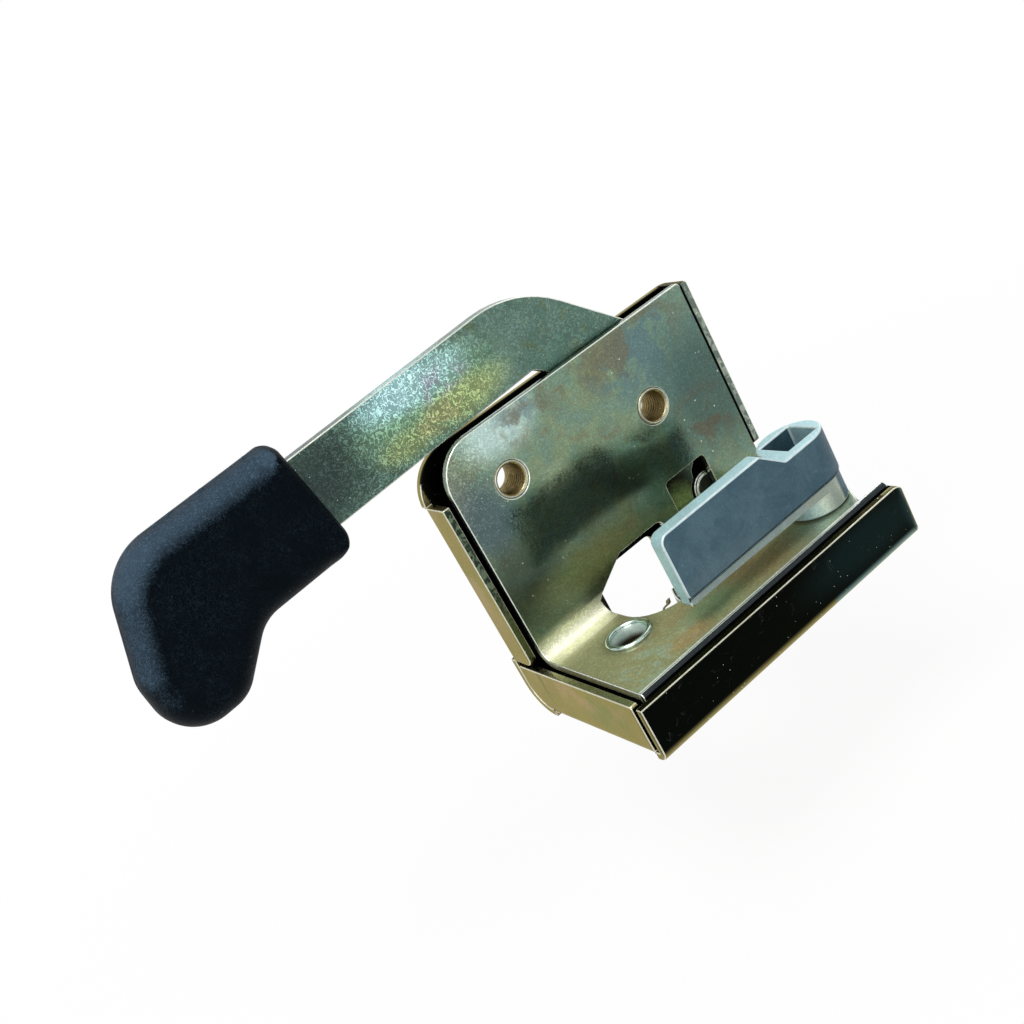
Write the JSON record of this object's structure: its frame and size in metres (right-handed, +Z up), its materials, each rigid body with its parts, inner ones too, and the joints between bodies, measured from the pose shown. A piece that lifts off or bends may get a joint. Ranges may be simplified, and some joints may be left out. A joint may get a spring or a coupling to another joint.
{
  "type": "door_lock",
  "caption": "Cab door lock in bent sheet steel: a turning claw grips a striker pin, and an inside lever handle or a square spindle in the cast release arm frees it",
  "frame": {"origin": "on the axis of the lever's threaded pivot bush, level with the front face of the tall leaf", "axes": "+X along the bend from the handle's side to the release arm's boss, -Y out of the tall leaf's front, +Z up the tall leaf"},
  "size_m": [0.2033, 0.0695, 0.1223],
  "materials": {
    "gold_zinc": "zinc plate with a gold chromate tint",
    "olive_zinc": "zinc plate with an olive iridescent chromate tint",
    "brass": "machined, dull",
    "bright_steel": "bright",
    "black_plastic": "fine leather grain",
    "cast_zinc": "as cast, blue grey"
  },
  "bodies": {
    "housing": {"casing_back": "gold_zinc", "casing_tray": "gold_zinc", "front_wall": "gold_zinc", "left_flange": "gold_zinc", "right_flange": "gold_zinc", "tall_leaf": "olive_zinc", "narrow_leaf": "olive_zinc", "front_lip": "olive_zinc", "left_bush": "brass", "pivot_bush": "brass", "edge_bush": "bright_steel", "claw_rivet": "bright_steel", "upper_shaft_bush": "brass", "lower_shaft_bush": "brass", "lever_stop": "bright_steel", "lever_washer": "bright_steel", "handle_spring": "bright_steel", "release_spring": "bright_steel", "claw_spring": "bright_steel"},
    "handle": {"handle_lever": "olive_zinc", "handle_grip": "black_plastic"},
    "release": {"release_arm": "cast_zinc", "latch_shaft": "bright_steel", "arm_pin": "bright_steel", "pawl": "olive_zinc", "release_finger": "olive_zinc", "drive_roller": "bright_steel", "shaft_circlip": "bright_steel"},
    "claw": {"claw": "olive_zinc", "claw_sleeve": "brass"}
  },
  "joints": [
    {"name": "handle_turn", "type": "hinge", "parent": "housing", "child": "handle", "pos_m": [0, 0, 0], "axis": [0, -1, 0], "range_deg": [0, 10], "stiffness_Nm_per_rad": 1, "springref_deg": -34.38, "deforming": ["handle_spring"]},
    {"name": "release_turn", "type": "hinge", "parent": "housing", "child": "release", "pos_m": [0.0151, -0.0348, -0.044], "axis": [0, 0, 1], "range_deg": [-9.3, 0], "deforming": ["release_spring"]},
    {"name": "claw_turn", "type": "hinge", "parent": "housing", "child": "claw", "pos_m": [-0.0064, -0.018, -0.0535], "axis": [0, 0, 1], "range_deg": [0, 50], "stiffness_Nm_per_rad": 0.15, "springref_deg": -28.65, "deforming": ["claw_spring"]}
  ],
  "couplings": [
    {"joint": "release_turn", "follows": "handle_turn", "ratio": -0.91}
  ]
}
